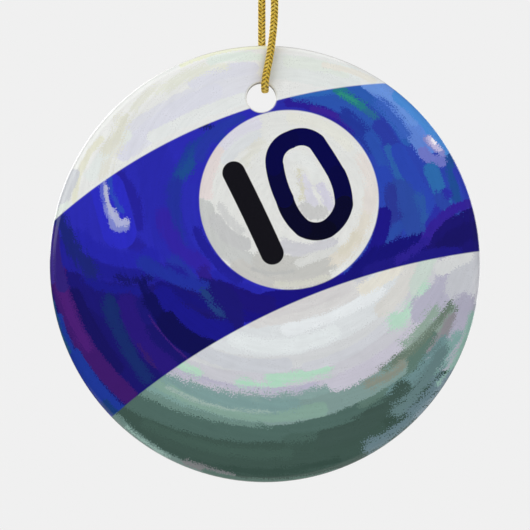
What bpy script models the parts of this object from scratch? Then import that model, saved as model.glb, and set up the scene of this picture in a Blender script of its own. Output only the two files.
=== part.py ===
"""A round glazed ceramic ornament that hangs on a loop of thin gold cord.

The disc stands upright in the XZ plane with its printed face towards -Y. The cord runs up from the hole
in front of the disc and behind it, parts round a hook, and is knotted above the hook. The origin is the
hanging point: the top of the hook's wire, inside the loop and under the knot. Metres, +Z up.
"""

import math

import bmesh
import bpy
from mathutils import Matrix, Vector

# Ceramic disc
DISC_WIDTH = 0.0730
DISC_HEIGHT = 0.0740
DISC_THICKNESS = 0.0040
EDGE_ROUND = 0.0012
HOLE_DIAMETER = 0.0050
HOLE_MOUTH_ROUND = 0.00045
RIM_ABOVE_HOLE = 0.0063
HOLE_OFFSET_X = -0.00065

# Gold cord
CORD_DIAMETER = 0.00136
CORD_TO_HOLE_WALL = 0.00012
CORD_TO_FACE = 0.00025
CORD_TO_CORD = 0.00012  # between the two runs where they meet at the knot
HOOK_WIRE = 0.0020  # the thickest wire that the loop's top is shaped for

# Knot and cut ends
KNOT_WIDTH = 0.0054
KNOT_DEPTH = 0.0054
KNOT_HEIGHT = 0.0052
KNOT_BASE_Z = 0.0020
TAIL_LENGTH = 0.0064

# Where the cord bends or turns, measured down from the hanging point, and the gaps left there
FORE_AFT_DROP = 0.0023
FORE_AFT_GAP = 0.0015
SIDE_DROP = 0.0083
SIDE_GAP = 0.0009
TWIST_DROP = 0.0400
TWIST_GAP = 0.0003
BUTT_GAP = 0.0003  # between cord and knot, and between knot and cut ends

# Facets
OUTLINE_SEGMENTS = 96
EDGE_SEGMENTS = 3
HOLE_SEGMENTS = 32
KNOT_SEGMENTS = 16
CORD_BEVEL_RESOLUTION = 2
CORD_LONGEST_STEP = 0.0034
CORD_LARGEST_TURN = math.radians(20)

MM = 0.001
CORD_RADIUS = CORD_DIAMETER / 2
FACE_Y = DISC_THICKNESS / 2

# The cord's route in millimetres, chosen by hand, for its front and its back run. Each point gives x, how
# far the run has closed in from its place beside the disc's face, and the height. The runs start in the
# middle of the hole, lie along the disc's faces, and draw together towards the hook.
FRONT_RUN = [
    (0.00, 1.35, -70.0),
    (0.00, 0.46, -69.55),
    (0.08, 0.08, -68.6),
    (0.28, 0.00, -67.4),
    (0.76, 0.00, -65.0),
    (1.20, 0.03, -62.0),
    (1.56, 0.09, -58.0),
    (1.60, 0.19, -52.0),
    (1.45, 0.37, -42.0),
    (1.05, 0.61, -30.0),
    (0.45, 0.85, -18.0),
    (0.12, 1.07, -8.30),
]
BACK_RUN = [
    (0.00, 1.35, -70.0),
    (-0.02, 0.46, -69.55),
    (-0.10, 0.08, -68.6),
    (-0.22, 0.00, -67.4),
    (-0.42, 0.00, -65.0),
    (-0.54, 0.03, -62.0),
    (-0.55, 0.09, -58.0),
    (-0.54, 0.19, -52.0),
    (-0.46, 0.37, -42.0),
    (-0.32, 0.61, -30.0),
    (-0.18, 0.85, -18.0),
    (-0.06, 1.07, -8.30),
]

# Over the hook, the same for both runs: how far out from the middle of the loop beyond the hook's wire or
# beyond the other run, and the height.
ROUND_HOOK = [(0.08, -3.20), (0.04, -1.50)]
INTO_KNOT = [(0.78, -0.25), (0.28, 0.75), (0.00, 1.75)]

LOOP_DROP = -FRONT_RUN[0][2] * MM
LEG_OUT = (FACE_Y + CORD_TO_FACE + CORD_RADIUS) / MM
HOOK_OUT = (HOOK_WIRE / 2 + CORD_RADIUS) / MM
KNOT_OUT = (CORD_TO_CORD / 2 + CORD_RADIUS) / MM

# The cord bears on the hole's wall, right under the disc's centre line, so the disc hangs straight.
CORD_TO_HOLE_CENTRE = HOLE_DIAMETER / 2 - CORD_RADIUS - CORD_TO_HOLE_WALL
CORD_ABOVE_HOLE = math.sqrt(CORD_TO_HOLE_CENTRE**2 - HOLE_OFFSET_X**2)
HOLE_Z = -LOOP_DROP - CORD_ABOVE_HOLE
DISC_Z = HOLE_Z + HOLE_DIAMETER / 2 + RIM_ABOVE_HOLE - DISC_HEIGHT / 2


def linear(hex_colour):
    """An sRGB hex colour as linear RGBA."""
    channels = [int(hex_colour[i : i + 2], 16) / 255 for i in (1, 3, 5)]
    return [c / 12.92 if c <= 0.04045 else ((c + 0.055) / 1.055) ** 2.4 for c in channels] + [1.0]


def material(name, hex_colour, roughness, metallic=0.0):
    made = bpy.data.materials.new(name)
    made.use_nodes = True
    made.diffuse_color = linear(hex_colour)
    shader = made.node_tree.nodes["Principled BSDF"]
    shader.inputs["Base Color"].default_value = linear(hex_colour)
    shader.inputs["Roughness"].default_value = roughness
    shader.inputs["Metallic"].default_value = metallic
    return made


def axis_empty(name, z, parent=None):
    """An empty on a joint's axis, which the pieces that move with that joint hang from."""
    empty = bpy.data.objects.new(name, None)
    empty.empty_display_size = 0.003
    bpy.context.scene.collection.objects.link(empty)
    empty.parent = parent
    empty.location = (0, 0, z - (parent.matrix_world.translation.z if parent else 0))
    bpy.context.view_layer.update()
    return empty


def add_object(name, data, parent, finish):
    made = bpy.data.objects.new(name, data)
    bpy.context.scene.collection.objects.link(made)
    made.parent = parent
    data.materials.append(finish)
    return made


def finished_mesh(name, bm):
    bmesh.ops.recalc_face_normals(bm, faces=bm.faces)
    mesh = bpy.data.meshes.new(name)
    bm.to_mesh(mesh)
    bm.free()
    mesh.shade_smooth()
    mesh.set_sharp_from_angle(angle=math.radians(40))
    return mesh


def run_points(run, side):
    """One run's route from the hole up to the knot, in metres. side is -1 for the front and 1 for the back."""
    points = [(x, LEG_OUT - closed_in, z) for x, closed_in, z in run]
    points += [(0, HOOK_OUT + out, z) for out, z in ROUND_HOOK]
    points += [(0, KNOT_OUT + out, z) for out, z in INTO_KNOT]
    return [Vector((x, side * out, z)) * MM for x, out, z in points]


def smooth_route(points, parts=48):
    """Close points on the centripetal Catmull-Rom curve through the route's own points."""
    route = [2 * points[0] - points[1]] + points + [2 * points[-1] - points[-2]]
    curve = []
    for a, b, c, d in zip(route, route[1:], route[2:], route[3:]):
        t1 = math.sqrt((b - a).length)
        t2 = t1 + math.sqrt((c - b).length)
        t3 = t2 + math.sqrt((d - c).length)
        for i in range(parts):
            t = t1 + (t2 - t1) * i / parts
            ab = a.lerp(b, t / t1)
            bc = b.lerp(c, (t - t1) / (t2 - t1))
            cd = c.lerp(d, (t - t2) / (t3 - t2))
            abc = ab.lerp(bc, t / t2)
            bcd = bc.lerp(cd, (t - t1) / (t3 - t1))
            curve.append(abc.lerp(bcd, (t - t1) / (t2 - t1)))
    return curve + [points[-1]]


def spaced(points):
    """The points of a close curve that a tube needs: far apart where it is straight, near in a bend."""
    kept = [points[0]]
    heading = points[1] - points[0]
    for before, here, after in zip(points, points[1:], points[2:]):
        far = (here - kept[-1]).length >= CORD_LONGEST_STEP
        if far or heading.angle(after - here) >= CORD_LARGEST_TURN:
            kept.append(here)
            heading = here - before
    return kept + [points[-1]]


def at_height(curve, z):
    """The place on a stretch of curve, running up or down, that is z high, as an index and a point."""
    for i, (a, b) in enumerate(zip(curve, curve[1:])):
        if (a.z - z) * (b.z - z) <= 0 and a.z != b.z:
            return i, a.lerp(b, (z - a.z) / (b.z - a.z))
    raise ValueError(f"the cord doesn't pass {z}")


def stretch(curve, upper_z, lower_z):
    """The part of a leg, given from its top down, between two heights."""
    first, top = at_height(curve, upper_z)
    last, bottom = at_height(curve, lower_z)
    return [top] + curve[first + 1 : last + 1] + [bottom]


def cord_tube(name, points, parent, finish):
    """A plain round tube along points in the world, with closed ends, whose origin is its parent's."""
    points = spaced(points)
    data = bpy.data.curves.new(name, "CURVE")
    data.dimensions = "3D"
    data.bevel_depth = CORD_RADIUS
    data.bevel_resolution = CORD_BEVEL_RESOLUTION
    data.use_fill_caps = True
    spline = data.splines.new("POLY")
    spline.points.add(len(points) - 1)
    origin = parent.matrix_world.translation
    for spline_point, point in zip(spline.points, points):
        spline_point.co = (*(point - origin), 1.0)
    return add_object(name, data, parent, finish)


def ceramic_disc(parent, glaze):
    """The disc, round edged and nearly circular, with the cord's hole cut through it."""
    origin = parent.matrix_world.translation
    centre = Vector((0, 0, DISC_Z)) - origin
    upright = Matrix.Rotation(math.radians(90), 4, "X")
    size = Matrix.Diagonal((DISC_WIDTH / 2, DISC_HEIGHT / 2, 1, 1))
    bm = bmesh.new()
    bmesh.ops.create_circle(
        bm,
        cap_ends=True,
        segments=OUTLINE_SEGMENTS,
        radius=1,
        matrix=Matrix.Translation(centre + Vector((0, FACE_Y, 0))) @ upright @ size,
    )
    extruded = bmesh.ops.extrude_face_region(bm, geom=bm.faces[:], use_keep_orig=True)
    moved = [v for v in extruded["geom"] if isinstance(v, bmesh.types.BMVert)]
    bmesh.ops.translate(bm, vec=(0, -DISC_THICKNESS, 0), verts=moved)
    rims = [e for e in bm.edges if abs(e.verts[0].co.y - e.verts[1].co.y) < DISC_THICKNESS / 2]
    bmesh.ops.bevel(
        bm,
        geom=rims,
        offset=EDGE_ROUND,
        affect="EDGES",
        segments=EDGE_SEGMENTS,
        profile=0.5,
        material=-1,
    )
    disc = add_object("ceramic_disc", finished_mesh("ceramic_disc", bm), parent, glaze)
    cut = disc.modifiers.new("cord_hole", "BOOLEAN")
    cut.operation = "DIFFERENCE"
    cut.solver = "EXACT"
    cut.object = hole_cutter(parent)
    return disc


def hole_cutter(parent):
    """A spool as wide as the hole that flares into each face, so the hole's mouths come out rounded."""
    radius = HOLE_DIAMETER / 2
    beyond = 0.0003
    arc = [math.radians(a) for a in (0, 25, 50, 75)]
    half = [
        (
            radius + HOLE_MOUTH_ROUND * (1 - math.cos(a)),
            FACE_Y - HOLE_MOUTH_ROUND * (1 - math.sin(a)),
        )
        for a in arc
    ]
    rise = FACE_Y + beyond - half[-1][1]
    half.append((half[-1][0] + rise * math.tan(arc[-1]), FACE_Y + beyond))
    profile = [(r, -y) for r, y in reversed(half)] + half
    origin = parent.matrix_world.translation
    centre = Vector((HOLE_OFFSET_X, 0, HOLE_Z)) - origin
    bm = bmesh.new()
    ends = [(0, profile[0][1])] + profile + [(0, profile[-1][1])]
    verts = [bm.verts.new(centre + Vector((r, y, 0))) for r, y in ends]
    edges = [bm.edges.new(pair) for pair in zip(verts, verts[1:])]
    bmesh.ops.spin(
        bm,
        geom=verts + edges,
        cent=centre,
        axis=(0, 1, 0),
        angle=math.tau,
        steps=HOLE_SEGMENTS,
        use_merge=True,
    )
    bmesh.ops.remove_doubles(bm, verts=bm.verts, dist=1e-7)
    bmesh.ops.recalc_face_normals(bm, faces=bm.faces)
    mesh = bpy.data.meshes.new("hole_cutter")
    bm.to_mesh(mesh)
    bm.free()
    cutter = bpy.data.objects.new("hole_cutter", mesh)
    bpy.context.scene.collection.objects.link(cutter)
    cutter.parent = parent
    cutter.hide_render = True
    cutter.display_type = "WIRE"
    return cutter


def cord_knot(parent, finish):
    """The outer shape of the tightened knot that joins the cord's two ends."""
    bm = bmesh.new()
    centre = Matrix.Translation((0, 0, KNOT_BASE_Z + KNOT_HEIGHT / 2))
    size = Matrix.Diagonal((KNOT_WIDTH / 2, KNOT_DEPTH / 2, KNOT_HEIGHT / 2, 1))
    bmesh.ops.create_uvsphere(
        bm,
        u_segments=KNOT_SEGMENTS,
        v_segments=KNOT_SEGMENTS // 2,
        radius=1,
        matrix=centre @ size,
    )
    return add_object("cord_knot", finished_mesh("cord_knot", bm), parent, finish)


def cut_end(name, side, parent, finish):
    """One cut end of the cord, standing up out of the knot and leaning outwards."""
    base = KNOT_BASE_Z + KNOT_HEIGHT + BUTT_GAP
    start = Vector((-side * 0.0002, side * (CORD_RADIUS + CORD_TO_CORD), base))
    middle = start + Vector((side * 0.0003, side * 0.0003, TAIL_LENGTH * 0.45))
    end = start + Vector((side * 0.0012, side * 0.0011, TAIL_LENGTH))
    return cord_tube(name, smooth_route([start, middle, end]), parent, finish)


def build():
    for old in list(bpy.data.objects):
        bpy.data.objects.remove(old, do_unlink=True)
    bpy.context.scene.unit_settings.scale_length = 1.0

    glaze = material("glazed_ceramic", "#E9EBEA", 0.16)
    gold = material("gold_plaited_cord", "#C9A227", 0.38, 0.85)

    hanging_point = axis_empty("hanging_point", 0)
    fore_aft_axis = axis_empty("fore_aft_axis", -FORE_AFT_DROP, hanging_point)
    side_axis = axis_empty("side_axis", -SIDE_DROP, fore_aft_axis)
    twist_axis = axis_empty("twist_axis", -TWIST_DROP, side_axis)
    rock_axis = axis_empty("rock_axis", -LOOP_DROP, twist_axis)

    front = run_points(FRONT_RUN, -1)
    back = run_points(BACK_RUN, 1)
    middle = Vector((0, 0, -LOOP_DROP))
    cord = smooth_route(front[::-1] + [middle] + back)
    lowest = cord.index(middle)
    legs = {"front": cord[: lowest + 1], "back": cord[: lowest - 1 : -1]}
    crown_top = front[-1].z
    foot = {}
    for side, leg in legs.items():
        crown = stretch(leg, crown_top, -FORE_AFT_DROP + FORE_AFT_GAP / 2)
        neck = stretch(leg, -FORE_AFT_DROP - FORE_AFT_GAP / 2, -SIDE_DROP + SIDE_GAP / 2)
        upper = stretch(leg, -SIDE_DROP - SIDE_GAP / 2, -TWIST_DROP + TWIST_GAP / 2)
        cord_tube(f"cord_crown_{side}", crown, hanging_point, gold)
        cord_tube(f"cord_neck_{side}", neck, fore_aft_axis, gold)
        cord_tube(f"cord_leg_{side}", upper, side_axis, gold)
        index, point = at_height(leg, -TWIST_DROP - TWIST_GAP / 2)
        foot[side] = [point] + leg[index + 1 :]
    cord_tube("cord_bight", foot["front"] + foot["back"][::-1][1:], twist_axis, gold)

    cord_knot(hanging_point, gold)
    cut_end("cord_end_front", -1, hanging_point, gold)
    cut_end("cord_end_back", 1, hanging_point, gold)
    ceramic_disc(rock_axis, glaze)


build()
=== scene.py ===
"""The looks of a round glazed ceramic ornament on a knotted gold cord, printed with a painted number ten
pool ball.

Lengths are metres in the CAD's frame. The print is laid out in millimetres from the disc's centre, with x to
the right and z up.
"""

import math

import bmesh
import bpy
import numpy as np
from mathutils import Matrix, Vector


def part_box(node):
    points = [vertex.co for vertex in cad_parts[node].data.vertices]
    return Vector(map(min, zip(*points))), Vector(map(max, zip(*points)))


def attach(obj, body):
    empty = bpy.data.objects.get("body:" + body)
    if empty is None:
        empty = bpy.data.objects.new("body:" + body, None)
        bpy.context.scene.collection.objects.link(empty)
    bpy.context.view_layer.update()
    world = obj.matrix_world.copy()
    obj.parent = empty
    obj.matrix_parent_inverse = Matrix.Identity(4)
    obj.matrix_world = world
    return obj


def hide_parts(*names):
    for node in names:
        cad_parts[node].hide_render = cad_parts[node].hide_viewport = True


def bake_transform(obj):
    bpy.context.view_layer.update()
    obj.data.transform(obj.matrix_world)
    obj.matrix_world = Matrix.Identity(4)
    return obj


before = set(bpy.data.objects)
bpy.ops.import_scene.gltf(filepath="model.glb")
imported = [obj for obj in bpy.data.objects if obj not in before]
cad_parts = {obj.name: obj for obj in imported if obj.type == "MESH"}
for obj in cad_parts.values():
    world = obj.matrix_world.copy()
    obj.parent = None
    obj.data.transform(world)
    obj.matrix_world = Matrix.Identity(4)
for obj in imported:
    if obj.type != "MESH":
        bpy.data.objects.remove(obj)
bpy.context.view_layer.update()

MM = 0.001
WELD_DISTANCE = 1e-7

# The disc, from its CAD solid. Its hole and rounded edges are the sizes that the solid has.
DISC_LOW, DISC_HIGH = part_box("ceramic_disc")
DISC_CENTRE = (DISC_LOW + DISC_HIGH) / 2
DISC_SIZE = DISC_HIGH - DISC_LOW
FACE_Y = DISC_SIZE.y / 2
EDGE_ROUND = 0.0012
FACE_INSET = 0.0004
HOLE_DIAMETER = 0.0050
HOLE_MOUTH_ROUND = 0.00045
RIM_ABOVE_HOLE = 0.0063
HOLE_OFFSET_X = -0.00065
HOLE_Z = DISC_HIGH.z - RIM_ABOVE_HOLE - HOLE_DIAMETER / 2

# The camera looks square on to the face.
CAMERA_TO_FACE = 0.400
VIEW_WIDTH = 0.08957
VIEW_DROP = 0.00017
SENSOR_WIDTH = 36.0
FLOOR_DROP = 0.30
FLOOR_RADIUS = 0.5

# The cord, and how far each run lies out from the middle plane beside the disc, the hook and the other run.
CORD_DIAMETER = 0.00136
CORD_RADIUS = CORD_DIAMETER / 2
CORD_TO_FACE = 0.00025
CORD_TO_CORD = 0.00012
HOOK_WIRE = 0.0020
LEG_OUT = (FACE_Y + CORD_TO_FACE + CORD_RADIUS) / MM
HOOK_OUT = (HOOK_WIRE / 2 + CORD_RADIUS) / MM
KNOT_OUT = (CORD_TO_CORD / 2 + CORD_RADIUS) / MM

# The two runs up from the hole. A point gives, in millimetres, the front run's x and the back run's, how far
# both have closed in from their places beside the disc's faces, and the height.
RUNS = [
    (0.00, 0.00, 1.35, -70.0),
    (0.00, -0.02, 0.46, -69.55),
    (0.08, -0.10, 0.08, -68.6),
    (0.28, -0.22, 0.00, -67.4),
    (0.76, -0.42, 0.00, -65.0),
    (1.20, -0.54, 0.03, -62.0),
    (1.56, -0.55, 0.09, -58.0),
    (1.60, -0.54, 0.19, -52.0),
    (1.45, -0.46, 0.37, -42.0),
    (1.05, -0.32, 0.61, -30.0),
    (0.45, -0.18, 0.85, -18.0),
    (0.12, -0.06, 1.07, -8.30),
]
# Beside the hook and into the knot, a point gives how much further out a run lies than it has to, and the
# height.
ROUND_HOOK = [(0.08, -3.20), (0.04, -1.50)]
INTO_KNOT = [(0.78, -0.25), (0.28, 0.75), (0.00, 1.75)]

# The overhand knot, tied in both cords together: the middle of the pair, and the way from it to the back
# cord. The pair rises through the knot, winds once round itself and comes up through its own turn.
KNOT_PAIR = [
    ((0.40, 0.00, 2.75), (0.0, 1.0, 0.0)),
    ((0.66, 0.02, 3.90), (0.0, 1.0, 0.0)),
    ((0.74, 0.12, 5.00), (0.0, 1.0, -0.15)),
    ((0.98, 0.78, 5.95), (0.0, 0.6, -0.8)),
    ((0.45, 1.72, 6.15), (0.0, 0.1, -1.0)),
    ((-0.85, 1.82, 5.95), (0.0, 0.0, -1.0)),
    ((-1.98, 0.55, 5.45), (0.0, 0.0, -1.0)),
    ((-1.55, -1.20, 4.95), (0.0, 0.0, -1.0)),
    ((0.00, -2.02, 4.45), (0.0, 0.0, -1.0)),
    ((1.55, -1.30, 3.95), (0.0, 0.0, -1.0)),
    ((2.00, 0.25, 3.50), (0.0, 0.0, -1.0)),
    ((1.00, 1.80, 3.15), (0.0, 0.0, -1.0)),
    ((-0.70, 1.70, 2.90), (0.0, 0.1, -1.0)),
    ((-1.20, 0.62, 3.15), (-0.4, 0.6, -0.7)),
    ((-0.80, 0.05, 4.15), (-0.3, 1.0, 0.0)),
    ((-0.62, 0.00, 5.40), (0.0, 1.0, 0.0)),
    ((-0.42, 0.00, 6.90), (0.0, 1.0, 0.0)),
]
# Half the distance between the pair's two cords in the knot, in millimetres.
KNOT_SPREAD = 0.70
# A cut end beyond the knot: x and y away from the other end, and the height. Both ends lie a little left.
CUT_END = [(0.10, 0.84, 8.30), (0.45, 1.10, 10.20), (1.05, 1.62, 12.40), (1.40, 1.95, 13.75)]
CUT_ENDS_X = -0.3

# The heights at which the cord's pieces meet: knot and hook, hook and neck, neck and hanging loop.
KNOT_FOOT = 0.0012
HOOK_FOOT = -0.0053
NECK_FOOT = -0.0130

# The braid: eight flat strands of metallised yarn, four each way round, each over two and under two. They
# stand a little proud of the cord's round solid, as fluffed yarn does.
BRAID_PITCH = 0.0026
STRANDS_EACH_WAY = 4
STRAND_HALF_WIDTH = 0.00024
STRAND_HALF_THICKNESS = 0.00010
STRAND_RISE = 0.00011
STRANDS_PROUD = 0.00005
STRAND_OUT = CORD_RADIUS + STRANDS_PROUD - STRAND_RISE - STRAND_HALF_THICKNESS
STRAND_SIDES = 8
RINGS_TO_A_TURN = 20
LINE_STEP = 0.00005
CURVE_PARTS = 24

# A strand's painted glints, in cells to a millimetre along it, to half its width and from it to the next,
# and the phase in radians that its ridges go through over half its width.
PAINTED_GLINT_CELLS = (2.2, 2.6, 3.7)
RIDGE_PHASE = 14.0

# The filling inside the strands, and the melted bead that seals a cut end and draws the strands in.
CORE_RADIUS = 0.00040
CORE_RING_STEP = 0.0004
CORE_SIDES = 12
BEAD_RADIUS = 0.00046
BEAD_HALF_LENGTH = 0.00024
DRAWN_IN_LENGTH = 0.0006
DRAWN_IN_SHARE = 0.72


# ---------------------------------------------------------------- small helpers


def linear(hex_colour):
    """An sRGB hex colour as linear RGBA."""
    channels = [int(hex_colour[i : i + 2], 16) / 255 for i in (1, 3, 5)]
    return [c / 12.92 if c <= 0.04045 else ((c + 0.055) / 1.055) ** 2.4 for c in channels] + [1.0]


def add(tree, kind, inputs=None, **settings):
    """Adds a node with its settings. An input takes another node's output as a link, or else a value."""
    made = tree.nodes.new(kind)
    for name, value in settings.items():
        setattr(made, name, value)
    for key, value in (inputs or {}).items():
        if isinstance(value, bpy.types.NodeSocket):
            tree.links.new(value, made.inputs[key])
        else:
            made.inputs[key].default_value = value
    return made


def maths(tree, operation, *values):
    """The result of a sum on numbers or nodes' outputs."""
    return add(tree, "ShaderNodeMath", dict(enumerate(values)), operation=operation).outputs[0]


def vector_maths(tree, operation, *values):
    """The result of a sum on vectors, which is a number for a length, a distance or a dot product."""
    made = add(tree, "ShaderNodeVectorMath", dict(enumerate(values)), operation=operation)
    return made.outputs["Value" if operation in ("LENGTH", "DISTANCE", "DOT_PRODUCT") else "Vector"]


def weighted(tree, level, *parts):
    """The level, with each part's value times its weight added to it."""
    for value, weight in parts:
        level = maths(tree, "MULTIPLY_ADD", value, weight, level)
    return level


def ranged(tree, value, low, high, at_low=0.0, at_high=1.0, interpolation="LINEAR"):
    """Goes from at_low to at_high as the value goes from low to high, and stays there beyond them."""
    return add(
        tree,
        "ShaderNodeMapRange",
        {0: value, 1: low, 2: high, 3: at_low, 4: at_high},
        interpolation_type=interpolation,
    ).outputs[0]


def laid_over(tree, cover, under, over):
    """One colour over another, as far as it covers it."""
    return add(tree, "ShaderNodeMix", {0: cover, 6: under, 7: over}, data_type="RGBA").outputs[2]


def new_material(name):
    """A material with its tree and its shader."""
    made = bpy.data.materials.new(name)
    made.use_nodes = True
    return made, made.node_tree, made.node_tree.nodes["Principled BSDF"]


def new_mesh(name, bm):
    """The mesh made from a bmesh, which is freed."""
    mesh = bpy.data.meshes.new(name)
    bm.to_mesh(mesh)
    bm.free()
    return mesh


def new_object(name, mesh, *finishes):
    """An object in the scene, with its materials."""
    made = bpy.data.objects.new(name, mesh)
    bpy.context.scene.collection.objects.link(made)
    for finish in finishes:
        mesh.materials.append(finish)
    return made


# ---------------------------------------------------------------- camera, light and floor


def make_camera():
    """A camera square on to the disc's face, which sees VIEW_WIDTH of it."""
    data = bpy.data.cameras.new("camera")
    data.sensor_width = SENSOR_WIDTH
    data.lens = SENSOR_WIDTH * CAMERA_TO_FACE / VIEW_WIDTH
    data.clip_start = 0.01
    data.clip_end = 10
    camera = bpy.data.objects.new("camera", data)
    bpy.context.scene.collection.objects.link(camera)
    camera.location = (0, DISC_LOW.y - CAMERA_TO_FACE, DISC_CENTRE.z - VIEW_DROP)
    camera.rotation_euler = (math.radians(90), 0, 0)
    bpy.context.scene.camera = camera


def softbox(name, place, size, power, glossy=True):
    """A square area light, placed from the disc's centre, that faces it."""
    data = bpy.data.lights.new(name, "AREA")
    data.shape = "SQUARE"
    data.size = size
    data.energy = power
    light = bpy.data.objects.new(name, data)
    bpy.context.scene.collection.objects.link(light)
    light.location = DISC_CENTRE + Vector(place)
    light.rotation_euler = (-Vector(place)).to_track_quat("-Z", "Y").to_euler()
    light.visible_glossy = glossy


def make_light():
    """Plain soft studio light. The fills aren't mirrored in the glaze, so its rim has no hard lines there."""
    softbox("key", (-0.42, -0.42, 0.34), 0.70, 2.9)
    softbox("fill_right", (0.52, -0.46, 0.10), 0.90, 2.45, glossy=False)
    softbox("fill_low", (0.05, -0.40, -0.27), 0.30, 0.64, glossy=False)
    softbox("top", (0.0, 0.05, 0.62), 0.50, 1.4)
    softbox("back_left", (-0.40, 0.50, 0.25), 0.50, 2.5)
    softbox("back_right", (0.45, 0.45, 0.10), 0.50, 1.7)
    world = bpy.data.worlds.new("studio")
    bpy.context.scene.world = world
    world.use_nodes = True
    tree = world.node_tree
    tree.nodes.clear()
    seen = add(tree, "ShaderNodeBackground", {"Color": linear("#F0F0F0"), "Strength": 1.0})
    felt = add(tree, "ShaderNodeBackground", {"Color": linear("#F4F5F7"), "Strength": 0.19})
    # The room in front of the object is dark, so the gloss doesn't grey the print.
    mirrored = add(tree, "ShaderNodeBackground", {"Color": linear("#F4F5F7"), "Strength": 0.06})
    path = add(tree, "ShaderNodeLightPath")
    unseen = add(
        tree,
        "ShaderNodeMixShader",
        {0: path.outputs["Is Glossy Ray"], 1: felt.outputs[0], 2: mirrored.outputs[0]},
    )
    both = add(
        tree,
        "ShaderNodeMixShader",
        {0: path.outputs["Is Camera Ray"], 1: unseen.outputs[0], 2: seen.outputs[0]},
    )
    add(tree, "ShaderNodeOutputWorld", {"Surface": both.outputs[0]})
    bpy.context.scene.view_settings.view_transform = "Standard"


def make_floor():
    """Matt white painted board: plain and pale, with a faint mottle so that it isn't one flat grey."""
    finish, tree, shader = new_material("painted_board")
    place = add(tree, "ShaderNodeTexCoord").outputs["Object"]
    mottle = add(tree, "ShaderNodeTexNoise", {"Vector": place, "Scale": 9.0}).outputs[0]
    tone = laid_over(tree, mottle, linear("#E2E2E0"), linear("#EAEAE8"))
    tree.links.new(tone, shader.inputs["Base Color"])
    shader.inputs["Roughness"].default_value = 0.85
    bm = bmesh.new()
    spot = Matrix.Translation((0, 0, DISC_LOW.z - FLOOR_DROP))
    bmesh.ops.create_circle(bm, cap_ends=True, segments=96, radius=FLOOR_RADIUS, matrix=spot)
    new_object("floor", new_mesh("floor", bm), finish)


# ---------------------------------------------------------------- the cord


def run_points(side):
    """One run's route from the hole up to the knot. side is -1 for the front and 1 for the back."""
    points = [(front if side < 0 else back, LEG_OUT - closed, z) for front, back, closed, z in RUNS]
    points += [(0, HOOK_OUT + out, z) for out, z in ROUND_HOOK]
    points += [(0, KNOT_OUT + out, z) for out, z in INTO_KNOT]
    return [Vector((x, side * out, z)) * MM for x, out, z in points]


def knot_points(side):
    """One cord's route through the knot and out to its cut end."""
    points = [Vector(p) + Vector(way).normalized() * side * KNOT_SPREAD for p, way in KNOT_PAIR]
    points += [Vector((side * x + CUT_ENDS_X, side * y, z)) for x, y, z in CUT_END]
    return [point * MM for point in points]


def smooth_route(points):
    """Close points on the centripetal Catmull-Rom curve through the route's own points."""
    route = [2 * points[0] - points[1]] + points + [2 * points[-1] - points[-2]]
    curve = []
    for a, b, c, d in zip(route, route[1:], route[2:], route[3:]):
        t1 = math.sqrt((b - a).length)
        t2 = t1 + math.sqrt((c - b).length)
        t3 = t2 + math.sqrt((d - c).length)
        for i in range(CURVE_PARTS):
            t = t1 + (t2 - t1) * i / CURVE_PARTS
            ab = a.lerp(b, t / t1)
            bc = b.lerp(c, (t - t1) / (t2 - t1))
            cd = c.lerp(d, (t - t2) / (t3 - t2))
            abc = ab.lerp(bc, t / t2)
            bcd = bc.lerp(cd, (t - t1) / (t3 - t1))
            curve.append(abc.lerp(bcd, (t - t1) / (t2 - t1)))
    return curve + [points[-1]]


def cord_line():
    """The whole cord from cut end to cut end: even points, with the directions along it and out from it."""
    front = run_points(-1) + knot_points(-1)
    back = run_points(1) + knot_points(1)
    middle = Vector((0, 0, RUNS[0][-1] * MM))
    rough = np.array(smooth_route(front[::-1] + [middle] + back))
    run = np.concatenate([[0], np.cumsum(np.linalg.norm(np.diff(rough, axis=0), axis=1))])
    along = np.linspace(0, run[-1], int(run[-1] / LINE_STEP))
    centre = np.stack([np.interp(along, run, rough[:, i]) for i in range(3)], axis=1)
    heading = np.gradient(centre, axis=0)
    heading /= np.linalg.norm(heading, axis=1)[:, None]
    out = np.empty_like(centre)
    bight = len(centre) // 2
    out[bight] = np.cross(heading[bight], (1, 0, 0))
    # Carried along without turning about the cord, from the hole both ways.
    for way in (range(bight + 1, len(centre)), range(bight - 1, -1, -1)):
        last = out[bight]
        for i in way:
            last = last - heading[i] * (last @ heading[i])
            last = last / np.linalg.norm(last)
            out[i] = last
    return {"along": along, "centre": centre, "heading": heading, "out": out, "bight": bight}


def place_at(line, height):
    """How far along the cord its front run, and its back run, pass this height."""
    z = line["centre"][:, 2]
    half = line["bight"]
    front = np.nonzero(z[:half] >= height)[0][-1]
    back = half + np.nonzero(z[half:] >= height)[0][0]
    return line["along"][front], line["along"][back]


def at(line, name, where):
    """The cord's centre, heading or way out, at these distances along it."""
    return np.stack([np.interp(where, line["along"], line[name][:, i]) for i in range(3)], axis=1)


def directions(line, where, turn):
    """The cord's heading at these distances, and the ways out and across at these turns round it."""
    heading = at(line, "heading", where)
    out = at(line, "out", where)
    side = np.cross(heading, out)
    cos = np.cos(turn)[:, None]
    sin = np.sin(turn)[:, None]
    return heading, out * cos + side * sin, side * cos - out * sin


def give_filling(verts):
    """Gives these vertices' faces the cord's second material."""
    for face in {face for vert in verts for face in vert.link_faces}:
        face.material_index = 1


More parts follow.
